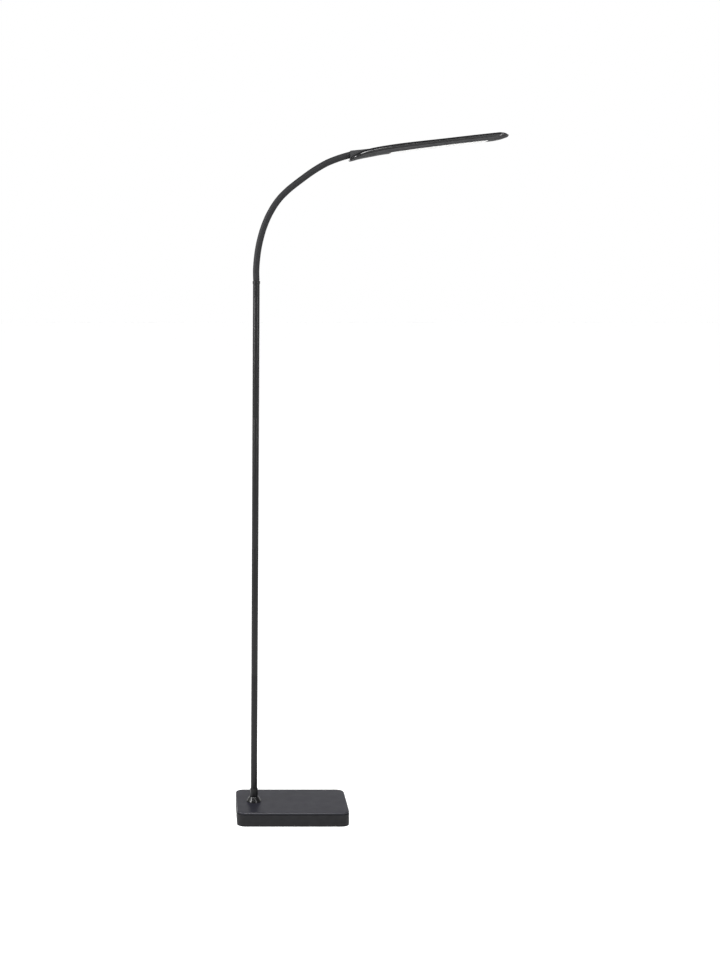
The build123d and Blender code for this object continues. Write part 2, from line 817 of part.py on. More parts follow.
nodes = {
    "base_pad": make_base_pad,
    "base_tub": make_base_tub,
    "base_lid": make_base_lid,
    "base_weight": make_base_weight,
    "lid_screws": make_lid_screws,
    "weight_screws": make_weight_screws,
    "pole_stud": make_pole_stud,
    "stud_washer": make_stud_washer,
    "stud_nut": make_stud_nut,
    "base_collar": make_base_collar,
    "foot_sleeve": make_foot_sleeve,
    "dc_inlet": make_dc_inlet,
    "inlet_nut": make_inlet_nut,
    "stud_inserts": make_stud_inserts,
    "nut_inserts": make_nut_inserts,
    "insert_pins": make_insert_pins,
    "neck_ferrule": make_neck_ferrule,
    "supply_lead": make_supply_lead,
    "head_connector": make_head_connector,
    "connector_screws": make_connector_screws,
    "head_shell": make_head_shell,
    "head_frame": make_head_frame,
    "head_diffuser": make_head_diffuser,
    "heat_plate": make_heat_plate,
    "led_board": make_led_board,
    "led_chips": make_led_chips,
    "control_board": make_control_board,
    "touch_pad": make_touch_pad,
    "head_screws": make_head_screws,
}

os.makedirs("parts", exist_ok=True)
for name, make in nodes.items():
    made = make()
    shape = Compound(children=made) if isinstance(made, list) else made
    export_step(shape, f"parts/{name}.step")
for number in range(pole_tubes):
    export_step(make_pole_tube(number), f"parts/pole_tube_{number + 1}.step")
for number in range(len(rest_bends)):
    export_step(make_neck_core(number), f"parts/neck_core_{number + 1:02d}.step")
    export_step(make_neck_sleeve(number), f"parts/neck_sleeve_{number + 1:02d}.step")
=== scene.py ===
import json
import math

import bpy
import numpy as np
from mathutils import Matrix, Vector


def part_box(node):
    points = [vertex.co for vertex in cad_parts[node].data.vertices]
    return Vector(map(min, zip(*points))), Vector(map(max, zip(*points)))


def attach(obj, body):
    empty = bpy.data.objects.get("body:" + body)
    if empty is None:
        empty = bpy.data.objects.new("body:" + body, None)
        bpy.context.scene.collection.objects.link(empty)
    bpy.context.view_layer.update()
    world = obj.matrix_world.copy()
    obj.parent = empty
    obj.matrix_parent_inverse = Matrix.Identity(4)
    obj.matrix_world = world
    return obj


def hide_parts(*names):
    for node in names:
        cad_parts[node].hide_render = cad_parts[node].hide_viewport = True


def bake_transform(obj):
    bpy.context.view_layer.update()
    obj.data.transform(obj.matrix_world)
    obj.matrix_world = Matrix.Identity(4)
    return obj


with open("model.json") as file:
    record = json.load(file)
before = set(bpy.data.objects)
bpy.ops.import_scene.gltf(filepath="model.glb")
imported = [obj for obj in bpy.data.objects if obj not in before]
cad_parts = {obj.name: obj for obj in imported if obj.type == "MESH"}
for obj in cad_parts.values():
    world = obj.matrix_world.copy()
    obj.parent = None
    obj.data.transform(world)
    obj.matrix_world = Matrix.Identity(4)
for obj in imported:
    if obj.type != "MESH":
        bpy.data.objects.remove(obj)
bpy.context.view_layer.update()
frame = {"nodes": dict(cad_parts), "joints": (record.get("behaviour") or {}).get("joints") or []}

# Gooseneck reading floor lamp. Sizes are in millimetres, and meshes go in as metres.
# Z is up from the floor, the pole's axis stands at X = Y = 0, and the head points along +X.
mm = 0.001
joints = frame["joints"]


def nodeBox(node):  # lowest and highest corner of a CAD node, in millimetres
    low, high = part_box(node)
    return np.array(low) / mm, np.array(high) / mm


def unit(vector):  # the vector over its own length
    return vector / np.linalg.norm(vector)


# A corner of turn a is rounded by an arc of radius r that meets both sides r * tan(a / 2) away from it.
def softOutline(corners, steps=6):
    places = np.array([corner[:2] for corner in corners], float)
    parts = []
    for i, corner in enumerate(corners):
        here, radius = places[i], corner[2]
        if not radius:
            parts.append(here[None])
            continue
        back = unit(places[i - 1] - here)
        ahead = unit(places[(i + 1) % len(places)] - here)
        turn = math.pi - math.acos(np.clip(back @ ahead, -1, 1))
        reach = radius * math.tan(turn / 2)
        centre = here + unit(back + ahead) * radius / math.cos(turn / 2)
        t = np.linspace(0, turn, steps + 1)[:, None]
        first, last = here + back * reach - centre, here + ahead * reach - centre
        parts.append(centre + (np.sin(turn - t) * first + np.sin(t) * last) / math.sin(turn))
    return np.concatenate(parts)


# Quads of a grid of rings: ring i and the next, point j and the next, each closing on itself where asked.
def gridQuads(rings, points, ringsClose=False, firstPoint=0):
    i = np.arange(rings if ringsClose else rings - 1)[:, None]
    j = np.arange(points)[None, :]
    after, beside = (i + 1) % rings, (j + 1) % points
    corners = [i * points + j, i * points + beside, after * points + beside, after * points + j]
    return (np.stack(corners, -1).reshape(-1, 4) + firstPoint).tolist()


# Quads over a ring that mirrors itself: point k is joined with point n - 1 - k on the other side.
def rungQuads(points, firstPoint):
    k = np.arange(points // 2 - 1)
    rungs = np.stack([k, k + 1, points - 2 - k, points - 1 - k], -1)
    return (rungs + firstPoint).tolist()


def putMesh(name, points, faces, sharpAngle=38):  # mesh object in metres, its faces outward
    mesh = bpy.data.meshes.new(name)
    mesh.from_pydata((np.asarray(points, float) * mm).tolist(), [], faces)
    mesh.update()
    mesh.calc_loop_triangles()
    corners = np.empty(len(mesh.loop_triangles) * 3, int)
    mesh.loop_triangles.foreach_get("vertices", corners)
    a, b, c = (np.asarray(points, float)[corners.reshape(-1, 3)[:, side]] for side in range(3))
    if np.einsum("ij,ij->", a, np.cross(b, c)) < 0:  # six times the volume inside
        mesh.flip_normals()
    mesh.shade_smooth()
    mesh.set_sharp_from_angle(angle=math.radians(sharpAngle))
    piece = bpy.data.objects.new(name, mesh)
    bpy.context.scene.collection.objects.link(piece)
    return piece


# Rings (n x m x 3) skinned in order. Both ends are closed by one flat face or by rungs, or the rings close on
# themselves as a loop.
def skinRings(name, rings, ends="flat", sharpAngle=38):
    count, points = rings.shape[:2]
    faces = gridQuads(count, points, ringsClose=ends == "loop")
    last = (count - 1) * points
    if ends == "flat":
        faces += [list(range(points)), list(range(last, last + points))]
    if ends == "rungs":
        faces += rungQuads(points, 0) + rungQuads(points, last)
    return putMesh(name, rings.reshape(-1, 3), faces, sharpAngle)


# Profile (r, z) turned round the Z axis: x = r cos(t), y = r sin(t).
def turnRings(profile, count=64):
    t = np.linspace(0, 2 * math.pi, count, endpoint=False)
    radius, level = np.array(profile)[:, :1], np.array(profile)[:, 1:]
    return np.stack([radius * np.cos(t), radius * np.sin(t), level + 0 * t], -1)


# Rounded rectangle in plan: corner centre + (rx cos(t), ry sin(t)), the long sides cut into even steps.
# It starts past the middle of the +X end, and point k mirrors point n - 1 - k over the X axis.
def planRing(low, high, radiusX, radiusY, cornerSteps=8, sideSteps=12):
    t = np.linspace(0, math.pi / 2, cornerSteps + 1)
    top = high[1] - radiusY
    farCorner = np.stack([high[0] - radiusX + radiusX * np.cos(t), top + radiusY * np.sin(t)], -1)
    nearCorner = np.stack([low[0] + radiusX - radiusX * np.sin(t), top + radiusY * np.cos(t)], -1)
    share = np.linspace(0, 1, sideSteps + 1)[1:-1, None]
    side = farCorner[-1] * (1 - share) + nearCorner[0] * share
    half = np.concatenate([farCorner, side, nearCorner])
    return np.concatenate([half, half[::-1] * [1, -1] + [0, low[1] + high[1]]])


# Tube round a line: centre + r (cos(a) side + sin(a) up), with side along Y and up square to the line.
def tubeRings(centres, directions, radii, count=48):
    a = np.linspace(0, 2 * math.pi, count, endpoint=False)[None, :, None]
    side = np.array([0.0, 1.0, 0.0])
    up = np.cross(directions, side)
    up /= np.linalg.norm(up, axis=1)[:, None]
    radii = np.broadcast_to(np.asarray(radii, float), len(centres))[:, None, None]
    return centres[:, None] + radii * (np.cos(a) * side + np.sin(a) * up[:, None])


def cutAway(piece, cutters, sharpAngle=38):  # takes the cutters' volume off the piece, and removes them
    for cutter in cutters:
        cut = piece.modifiers.new("cut", "BOOLEAN")
        cut.operation, cut.solver, cut.object = "DIFFERENCE", "EXACT", cutter
    bpy.context.view_layer.update()
    shape = bpy.data.meshes.new_from_object(piece.evaluated_get(bpy.context.evaluated_depsgraph_get()))
    shape.set_sharp_from_angle(angle=math.radians(sharpAngle))  # the cut's own edges too
    piece.modifiers.clear()
    piece.data = shape
    for cutter in cutters:
        bpy.data.objects.remove(cutter)
    return piece


def addNode(material, kind, **values):  # a node with its properties and sockets set by name
    node = material.node_tree.nodes.new(kind)
    for key, value in values.items():
        if key in node.inputs:
            node.inputs[key].default_value = value
        else:
            setattr(node, key, value)
    return node


# A finish is two shades and two roughnesses, picked by a mottle of one size, under the bump of a finer grain:
# shade = colour * (1 - spread) to colour * (1 + spread), with the noise's middle part stretched over both.
def makeFinish(name, look):
    material = bpy.data.materials.new(name)
    material.use_nodes = True
    link = material.node_tree.links.new
    shader = material.node_tree.nodes["Principled BSDF"]
    coordinate = addNode(material, "ShaderNodeTexCoord")
    stretch = addNode(material, "ShaderNodeMapping", Scale=look.get("stretch", (1, 1, 1)))
    link(coordinate.outputs["Object"], stretch.inputs["Vector"])

    def noise(size, detail):  # Perlin noise with one grain to a size, in millimetres
        made = addNode(material, "ShaderNodeTexNoise", Scale=1 / (size * mm), Detail=detail, Roughness=0.55)
        link(stretch.outputs["Vector"], made.inputs["Vector"])
        return made.outputs["Fac"]

    mottle, grain = noise(look["mottleSize"], 3.0), noise(look["grainSize"], 2.0)
    shades = addNode(material, "ShaderNodeMix", data_type="RGBA")
    colour, spread = np.array(look["colour"], float), look["spread"]
    shades.inputs["A"].default_value = (*(colour * (1 - spread)), 1)
    shades.inputs["B"].default_value = (*(colour * (1 + spread)), 1)
    speckle = addNode(material, "ShaderNodeMapRange", **{"From Min": 0.35, "From Max": 0.65})
    link(grain if look.get("speckled") else mottle, speckle.inputs["Value"])
    link(speckle.outputs["Result"], shades.inputs["Factor"])
    link(shades.outputs["Result"], shader.inputs["Base Color"])
    low, high = look["roughness"]
    limits = {"From Min": 0.3, "From Max": 0.7, "To Min": low, "To Max": high}
    gloss = addNode(material, "ShaderNodeMapRange", **limits)
    link(mottle, gloss.inputs["Value"])
    link(gloss.outputs["Result"], shader.inputs["Roughness"])
    bump = addNode(material, "ShaderNodeBump", Strength=0.5, Distance=look["bump"] * mm)
    link(grain, bump.inputs["Height"])
    link(bump.outputs["Normal"], shader.inputs["Normal"])
    shader.inputs["Metallic"].default_value = look.get("metallic", 0.0)
    shader.inputs["Specular IOR Level"].default_value = look.get("specular", 0.5)
    return material


finishes = {
    "satinLid": {"colour": (0.0135, 0.0135, 0.019), "spread": 0.35, "speckled": True, "mottleSize": 26,
                 "grainSize": 1.1, "roughness": (0.33, 0.39), "bump": 0.035, "specular": 0.23},
    "tubPlastic": {"colour": (0.0105, 0.0105, 0.0115), "spread": 0.15, "mottleSize": 18, "grainSize": 0.6,
                   "roughness": (0.55, 0.62), "bump": 0.02, "specular": 0.12},
    "footFoam": {"colour": (0.010, 0.010, 0.010), "spread": 0.3, "mottleSize": 3, "grainSize": 0.8,
                 "roughness": (0.85, 0.95), "bump": 0.25, "specular": 0.1},
    "poleLacquer": {"colour": (0.0065, 0.0065, 0.007), "spread": 0.12, "mottleSize": 9, "grainSize": 0.5,
                    "roughness": (0.28, 0.33), "bump": 0.006, "specular": 0.18},
    "collarLacquer": {"colour": (0.006, 0.006, 0.0065), "spread": 0.1, "mottleSize": 6, "grainSize": 0.4,
                      "roughness": (0.15, 0.19), "bump": 0.004, "specular": 0.35},
    "neckSilicone": {"colour": (0.0115, 0.0115, 0.0125), "spread": 0.14, "mottleSize": 7, "grainSize": 0.35,
                     "roughness": (0.55, 0.63), "bump": 0.02, "specular": 0.16},
    "glossShell": {"colour": (0.004, 0.004, 0.0045), "spread": 0.12, "mottleSize": 14, "grainSize": 0.5,
                   "roughness": (0.14, 0.18), "bump": 0.003, "specular": 0.6},
    "framePlastic": {"colour": (0.036, 0.036, 0.037), "spread": 0.12, "mottleSize": 14, "grainSize": 0.5,
                     "roughness": (0.72, 0.8), "bump": 0.02, "specular": 0.12},
    "opalPanel": {"colour": (0.74, 0.74, 0.73), "spread": 0.02, "mottleSize": 20, "grainSize": 0.3,
                  "roughness": (0.45, 0.55), "bump": 0.015, "specular": 0.4},
    "inletPlastic": {"colour": (0.010, 0.010, 0.010), "spread": 0.1, "mottleSize": 3, "grainSize": 0.3,
                     "roughness": (0.25, 0.32), "bump": 0.01, "specular": 0.4},
    "zincSteel": {"colour": (0.50, 0.50, 0.51), "spread": 0.12, "mottleSize": 2.5, "grainSize": 0.3,
                  "roughness": (0.28, 0.42), "bump": 0.02, "metallic": 1.0},
    "blackScrew": {"colour": (0.03, 0.03, 0.032), "spread": 0.2, "mottleSize": 1.5, "grainSize": 0.2,
                   "roughness": (0.3, 0.42), "bump": 0.01, "metallic": 0.6},
    "turnedBrass": {"colour": (0.62, 0.44, 0.18), "spread": 0.1, "mottleSize": 2.5, "grainSize": 0.3,
                    "roughness": (0.25, 0.35), "bump": 0.01, "metallic": 1.0, "stretch": (1, 1, 5)},
    "castBallast": {"colour": (0.10, 0.098, 0.095), "spread": 0.3, "mottleSize": 8, "grainSize": 1.1,
                    "roughness": (0.6, 0.78), "bump": 0.12, "metallic": 0.7},
    "leadJacket": {"colour": (0.014, 0.014, 0.014), "spread": 0.12, "mottleSize": 4, "grainSize": 0.3,
                   "roughness": (0.5, 0.62), "bump": 0.02, "specular": 0.3},
    "rolledAluminium": {"colour": (0.72, 0.72, 0.73), "spread": 0.06, "mottleSize": 3, "grainSize": 0.4,
                        "roughness": (0.32, 0.44), "bump": 0.01, "metallic": 1.0, "stretch": (0.12, 1, 1)},
    "boardMask": {"colour": (0.72, 0.74, 0.70), "spread": 0.03, "mottleSize": 6, "grainSize": 0.4,
                  "roughness": (0.28, 0.36), "bump": 0.01},
    "chipPhosphor": {"colour": (0.80, 0.62, 0.12), "spread": 0.08, "mottleSize": 0.8, "grainSize": 0.2,
                     "roughness": (0.4, 0.5), "bump": 0.01},
}
made = {name: makeFinish(name, look) for name, look in finishes.items()}
print("finishes made:", len(made))


# Puts the finish on the piece's mesh, and hides the CAD nodes that it stands for; slotName is not used.
def dress(piece, finish, slotName, *replaced):
    piece.data.materials.clear()
    piece.data.materials.append(made[finish])
    if replaced:
        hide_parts(*replaced)
    return piece


# CAD nodes that keep their own shape get a finish on their material slot.
keptNodes = {
    "zincSteel": [
        "pole_stud", "stud_washer", "stud_nut", "lid_screws", "weight_screws", "inlet_nut", "stud_inserts",
    ],
    "castBallast": ["base_weight"],
    "blackScrew": ["insert_pins"],
    "turnedBrass": ["nut_inserts", "touch_pad"],
    "rolledAluminium": ["heat_plate"],
    "boardMask": ["led_board", "control_board"],
    "chipPhosphor": ["led_chips"],
}
for finish, names in keptNodes.items():
    for name in names:
        frame["nodes"][name].data.materials.clear()
        frame["nodes"][name].data.materials.append(made[finish])


base = {
    "corner": 20.0,          # corner radius seen from above
    "bottomEdge": 0.4,       # round edge under the tub
    "overFloor": 0.1,        # the tub's underside over the floor, where the foam pad gives
    "padInset": 2.4,
    "padEdges": (0.5, 0.4),  # below and above
    "closing": 12.0,         # inset from which a flat face is closed by rungs
    "rimEdge": 0.5,          # small edges along the shadow gap
    "lidEdge": 0.6,          # round edge under the lid's chamfer
    "chamferIn": 1.5,        # chamfer along the lid's top edge, inward and down
    "chamferDown": 1.7,
    "lidThickness": 3.2,
    "shadowGap": 2.8,
    "shadowDepth": 2.7,
    "wall": 2.5,
    "skirtDepth": 5.0,
    "skirtInset": 2.8,
    "skirtWall": 2.0,
    "poleHole": 11.0,        # radius of the hole under the collar
    "inletHole": 5.5,        # and of the one in the end face
    "cornerSteps": 14,
    "sideSteps": 24,
}
lidLow, lidHigh = nodeBox("base_lid")
tubLow, tubHigh = nodeBox("base_tub")
padLow, padHigh = nodeBox("base_pad")
inletLow, inletHigh = nodeBox("dc_inlet")
inletMiddle = (inletLow + inletHigh) / 2


# Base outline drawn in by d, at a level: the corner radius shrinks by the same d.
def baseRing(inset, level):
    radius, steps = max(base["corner"] - inset, 1.0), (base["cornerSteps"], base["sideSteps"])
    plan = planRing(lidLow[:2] + inset, lidHigh[:2] - inset, radius, radius, *steps)
    return np.column_stack([plan, np.full(len(plan), level)])


def baseSkin(name, profile):  # the outline carried down a profile of (inset, level) points
    return skinRings(name, np.array([baseRing(inset, level) for inset, level in profile]), "rungs")


# Lid: flat top, chamfer, side, back under to the shadow gap, down the skirt and up inside it, less the
# pole's hole.
def makeLid():
    top, under = lidHigh[2], lidHigh[2] - base["lidThickness"]
    stepLow = under - base["shadowGap"]
    skirtLow = stepLow - base["skirtDepth"]
    gap, skirt, closing, hole = base["shadowDepth"], base["skirtInset"], base["closing"], base["poleHole"]
    inside = skirt + base["skirtWall"]
    profile = softOutline([
        (closing, top, 0), (base["chamferIn"], top, 0.4), (0, top - base["chamferDown"], base["lidEdge"]),
        (0, under, 0.4), (gap, under, 0), (gap, stepLow, 0), (skirt, stepLow, 0), (skirt, skirtLow, 0.4),
        (inside, skirtLow, 0.4), (inside, under, 1.0), (closing, under, 0),
    ])
    cutter = skinRings("hole", turnRings([(hole, under - 5), (hole, top + 5)]))
    return cutAway(baseSkin("baseLid", profile), [cutter])


# Tub: flat underside, round edge, side, rim, and down its wall to the floor inside, less the inlet's hole.
def makeTub():
    low, high, wall, rim = base["overFloor"], tubHigh[2], base["wall"], base["rimEdge"]
    closing, hole = base["closing"], base["inletHole"]
    profile = softOutline([
        (closing, low, 0), (0, low, base["bottomEdge"]), (0, high, rim), (wall, high, rim),
        (wall, low + wall, 0.8), (closing, low + wall, 0),
    ], steps=10)
    cutter = skinRings("hole", turnRings([(hole, -10), (hole, 10)]))
    cutter.data.transform(inletPlace())
    return cutAway(baseSkin("baseTub", profile), [cutter])


def makePad():  # a flat sheet with soft edges
    inset, closing, high = base["padInset"], base["closing"], padHigh[2]
    below, above = base["padEdges"]
    profile = softOutline([(closing, 0, 0), (inset, 0, below), (inset, high, above), (closing, high, 0)])
    return baseSkin("basePad", profile)


def inletPlace():  # turns the Z axis to point out of the base's end face, at the inlet
    place = Vector((tubHigh[0], inletMiddle[1], inletMiddle[2])) * mm
    return Matrix.Translation(place) @ Matrix.Rotation(math.pi / 2, 4, "Y")


inlet = {
    "flangeRadius": 6.5,
    "flange": 1.2,           # how far it stands out of the end face
    "bodyRadius": 5.4,
    "bodyLength": 20.0,
    "bore": 3.0,
    "depth": 11.0,
    "pin": 1.0,
}


def makeInlet():  # flange, body and bore in one turned outline, and the pin in the middle
    front, rim, body, back = inlet["flange"], inlet["flangeRadius"], inlet["bodyRadius"], -inlet["bodyLength"]
    bore, bottom, pin = inlet["bore"], inlet["flange"] - inlet["depth"], inlet["pin"]
    outline = softOutline([
        (0.6, back, 0), (body, back, 0.4), (body, 0, 0), (rim, 0, 0), (rim, front, 0.5), (bore, front, 0.3),
        (bore, bottom, 0), (pin, bottom, 0), (pin, -0.4, 0), (0.7, front - 1.0, 0), (0.3, front - 0.9, 0),
    ])
    piece = skinRings("dcInlet", turnRings(outline, 48))
    piece.data.transform(inletPlace())
    return piece


for piece, finish, slotName, node in (
    (makeLid(), "satinLid", "satin_black", "base_lid"),
    (makeTub(), "tubPlastic", "black_plastic", "base_tub"),
    (makePad(), "footFoam", "foam", "base_pad"),
    (makeInlet(), "inletPlastic", "inlet_plastic", "dc_inlet"),
):
    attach(dress(piece, finish, slotName, node), "stand")
print("base made")


pole = {
    "radius": 8.0,
    "wall": 1.0,
    "slip": 0.1,             # between the pole and what goes over it
    "endEdge": 0.6,
    "collarFoot": 18.0,
    "collarTop": 10.5,
    "collarRim": 1.5,
    "collarWall": 5.0,       # at its foot
    "sleeveRadius": 9.4,
    "sleeveEdge": 0.6,
    "ferruleRing": 8.8,
    "ferruleRingLength": 7.1,
    "ferruleEdge": 1.2,
    "ferruleSpigot": 5.0,    # radius of its thread in the pole, and how far that goes in
    "spigotLength": 19.5,
    "ferruleBore": 2.4,
    "turnSteps": 96,
}


def makeTube(number):  # outer and inner wall between the levels of its CAD node, with soft outer edges
    low, high = nodeBox(f"pole_tube_{number}")
    outer, edge = pole["radius"], pole["endEdge"]
    inner = outer - pole["wall"]
    outline = softOutline([
        (inner, low[2], 0), (outer, low[2], edge), (outer, high[2], edge), (inner, high[2], 0),
    ], steps=4)
    return skinRings(f"poleTube{number}", turnRings(outline, pole["turnSteps"]), "loop")


def makeCollar():  # a low rim, a straight cone up to the pole, and a bore over it
    low, high = (corner[2] for corner in nodeBox("base_collar"))
    inner, foot = pole["radius"] + pole["slip"], pole["collarFoot"]
    outline = softOutline([
        (inner + pole["collarWall"], low, 0), (foot, low, 0.2), (foot, low + pole["collarRim"], 0.7),
        (pole["collarTop"], high, 0.8), (inner, high, 0.3), (inner, high - 2, 0),
    ])
    return skinRings("baseCollar", turnRings(outline, pole["turnSteps"]), "loop")


def makeFootSleeve():  # a plain ring with soft outer edges
    low, high = (corner[2] for corner in nodeBox("foot_sleeve"))
    outer, inner, edge = pole["sleeveRadius"], pole["radius"] + pole["slip"], pole["sleeveEdge"]
    outline = softOutline([(inner, low, 0), (outer, low, edge), (outer, high, edge), (inner, high, 0)])
    return skinRings("footSleeve", turnRings(outline, pole["turnSteps"]), "loop")


def makeFerrule():  # a spigot inside the pole, a body as wide as it, and a rounded ring at the neck
    poleTop = nodeBox("pole_tube_4")[1][2]
    bodyTop = ringTop - pole["ferruleRingLength"]
    ring, radius, bore = pole["ferruleRing"], pole["radius"], pole["ferruleBore"]
    spigot, low = pole["ferruleSpigot"], poleTop - pole["spigotLength"]
    outline = softOutline([
        (bore, low, 0), (spigot, low, 0.4), (spigot, poleTop, 0), (radius, poleTop, 0.4),
        (radius, bodyTop, 0.3), (ring, bodyTop + 0.4, 1.0), (ring, ringTop, pole["ferruleEdge"]),
        (bore, ringTop, 0),
    ])
    return skinRings("neckFerrule", turnRings(outline, pole["turnSteps"]), "loop")


hinges = np.array([joint["pos_m"] for joint in joints]) / mm
# The ferrule's top is as far below the first hinge as the first CAD sleeve starts above it.
ringTop = 2 * hinges[0][2] - nodeBox("neck_sleeve_01")[0][2]
for number in range(1, 5):
    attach(dress(makeTube(number), "poleLacquer", "black_lacquer", f"pole_tube_{number}"), "stand")
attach(dress(makeCollar(), "collarLacquer", "black_lacquer", "base_collar"), "stand")
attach(dress(makeFootSleeve(), "poleLacquer", "black_lacquer", "foot_sleeve"), "stand")
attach(dress(makeFerrule(), "poleLacquer", "black_lacquer", "neck_ferrule"), "stand")
print("pole made")


neck = {
    "radius": 7.6,
    "wall": 1.3,
    "coreRadius": 6.1,
    "coreWall": 3.0,
    "corePitch": 3.3,        # turns of the wound core, as rings
    "coreRipple": 0.15,
    "leadRadius": 1.6,
    "socketDepth": 3.0,      # how far the sleeve goes into the head's connector
    "averageOver": 80.0,     # the stretch that the direction is averaged over
    "sway": [(0, 0), (20, 0.8), (45, 1.1), (68, 1.7), (85, 1.3), (105, 0.5), (130, 0.35), (160, 1.3),
             (180, 0.9), (200, -0.3), (222, -0.95), (255, -0.75), (290, -0.3), (322, 0), (345, 1.5),
             (368, 2.4), (385, 2.2), (402, 1.3)],  # (place along the neck, how far outside the averaged line)
    "swayOver": 24.0,        # the stretch that the sway is averaged over
    "step": 0.5,
    "ringSpacing": 1.6,
    "settle": 1.3,           # held still past each end of a piece
    "lip": 0.5,              # how much the sleeve draws in where it leaves the ferrule
    "lipLength": 0.8,
    "coreGap": 0.1,          # between the core and the sleeve
}
lastAxis = np.array(joints[-1]["axis"], float)
neckEnd = {"direction": np.array([lastAxis[2], 0, -lastAxis[0]]), "reach": 30.1}
facePoint = hinges[-1] + neckEnd["direction"] * neckEnd["reach"]


def hannAverage(values, reach):  # weighted mean over reach steps either way, and so 2 * reach values fewer
    window = np.hanning(2 * reach + 1)
    return np.convolve(values, window / window.sum(), "valid")


# Centre line of the neck: its direction is the links' direction averaged over a window, its points are the
# running sum of direction times step, drawn level with the connector by a share that grows along it. Last,
# the averaged sway moves each point along the outward normal.
def neckLine():
    corners = np.vstack([[0, 0, ringTop], hinges, facePoint + neckEnd["direction"] * neck["socketDepth"]])
    legs = np.diff(corners, axis=0)
    lengths = np.linalg.norm(legs, axis=1)
    ends = np.cumsum(lengths)
    along = np.arange(0, ends[-1], neck["step"]) + neck["step"] / 2
    leg = np.minimum(np.searchsorted(ends, along), len(legs) - 1)
    angle = np.arctan2(legs[:, 2], legs[:, 0])[leg]
    reach = int(neck["averageOver"] / neck["step"] / 2)
    smooth = hannAverage(np.pad(angle, reach, "edge"), reach)
    steps = np.stack([np.cos(smooth), 0 * smooth, np.sin(smooth)], -1) * neck["step"]
    line = corners[0] + np.vstack([np.zeros(3), np.cumsum(steps, axis=0)])
    line += (corners[-1] - line[-1]) * np.linspace(0, 1, len(line))[:, None]
    reach = int(neck["swayOver"] / neck["step"] / 2)
    sway = np.interp(np.arange(-reach, len(line) + reach) * neck["step"], *np.transpose(neck["sway"]))
    sway = hannAverage(sway, reach)
    ways = np.gradient(line, axis=0) / neck["step"]
    line += sway[:, None] * np.stack([-ways[:, 2], 0 * sway, ways[:, 0]], -1)
    middles = np.concatenate([[0], ends[:-1]]) + lengths / 2
    return line, middles, ends[-1]


line, legMiddles, neckLength = neckLine()
linePlaces = np.linspace(0, neckLength, len(line))
lineWays = np.gradient(line, axis=0)


def onLine(places, values):  # values along the neck read at these places
    return np.stack([np.interp(places, linePlaces, values[:, side]) for side in range(3)], -1)


# Each piece runs from the middle of one link to the middle of the next.
pieceEnds = np.concatenate([[0], legMiddles[1:-1], [neckLength]])


# A stretch of tube along the line, from radius outerAt to innerAt or solid.
def neckPiece(name, number, outerAt, innerAt):
    start, end = pieceEnds[number], pieceEnds[number + 1]
    places = np.linspace(start, end, max(int((end - start) / neck["ringSpacing"]), 2) + 1)
    centres, ways = onLine(places, line), onLine(places, lineWays)
    outer = tubeRings(centres, ways, outerAt(places))
    if innerAt is None:
        piece = skinRings(name, outer, "flat", 60)
    else:
        inner = tubeRings(centres, ways, innerAt(places))
        piece = skinRings(name, np.concatenate([outer, inner[::-1]]), "loop", 60)
    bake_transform(piece)
    return piece


def sleeveRadius(places):  # r - lip * exp(-s / length), so it has a soft lip where it leaves the ferrule
    return neck["radius"] - neck["lip"] * np.exp(-places / neck["lipLength"])


def sleeveBore(places):  # its wall further in
    return sleeveRadius(places) - neck["wall"]


def coreRadius(places):  # r - ripple + ripple * cos(2 pi s / pitch), less the gap round it
    ripple = neck["coreRipple"] * np.cos(2 * math.pi * places / neck["corePitch"])
    return neck["coreRadius"] - neck["coreRipple"] + ripple - neck["coreGap"]


def coreBore(places):  # its wall further in
    return coreRadius(places) - neck["coreWall"]


def leadRadius(places):  # the same all the way
    return neck["leadRadius"] + 0 * places


for number in range(len(joints)):
    label = f"{number + 1:02d}"
    sleeve = neckPiece("neckSleeve" + label, number, sleeveRadius, sleeveBore)
    dress(sleeve, "neckSilicone", "neck_rubber", "neck_sleeve_" + label)
    core = neckPiece("neckCore" + label, number, coreRadius, coreBore)
    dress(core, "zincSteel", "steel", "neck_core_" + label)
    lead = neckPiece("neckLead" + label, number, leadRadius, None)
    dress(lead, "leadJacket", "lead_rubber", "supply_lead")
print("gooseneck made:", len(joints), "stretches of sleeve, core and lead")


# Lead in the base and the pole, and its end in the head: a quadratic B-spline of listed points,
# (1 - t)^2 m + 2 t (1 - t) p + t^2 n, where m and n are the middles of the sides beside point p.
def splineLine(points, steps=12):
    points = np.array(points, float)
    middles, corner = (points[1:-2] + points[2:-1]) / 2, points[1:-1]
    first, last = np.vstack([points[:1], middles]), np.vstack([middles, points[-1:]])
    t = np.linspace(0, 1, steps + 1)[None, :, None]
    curve = (1 - t) ** 2 * first[:, None] + 2 * t * (1 - t) * corner[:, None] + t**2 * last[:, None]
    return np.vstack([curve[:, :-1].reshape(-1, 3), points[-1:]])


# Round tube along that line: centre + r (cos(a) side + sin(a) up), side and up square to the line.
def leadPiece(name, points, body, count=16):
    centres = splineLine(points)
    ways = np.gradient(centres, axis=0)
    a = np.linspace(0, 2 * math.pi, count, endpoint=False)[None, :, None]
    side = np.cross(ways, [0.3, 1.0, 0.2])  # never along the lead
    side /= np.linalg.norm(side, axis=1)[:, None]
    up = np.cross(ways, side)
    up /= np.linalg.norm(up, axis=1)[:, None]
    rings = centres[:, None] + neck["leadRadius"] * (np.cos(a) * side[:, None] + np.sin(a) * up[:, None])
    piece = skinRings(name, rings, "flat", 60)
    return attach(dress(piece, "leadJacket", "lead_rubber", "supply_lead"), body)


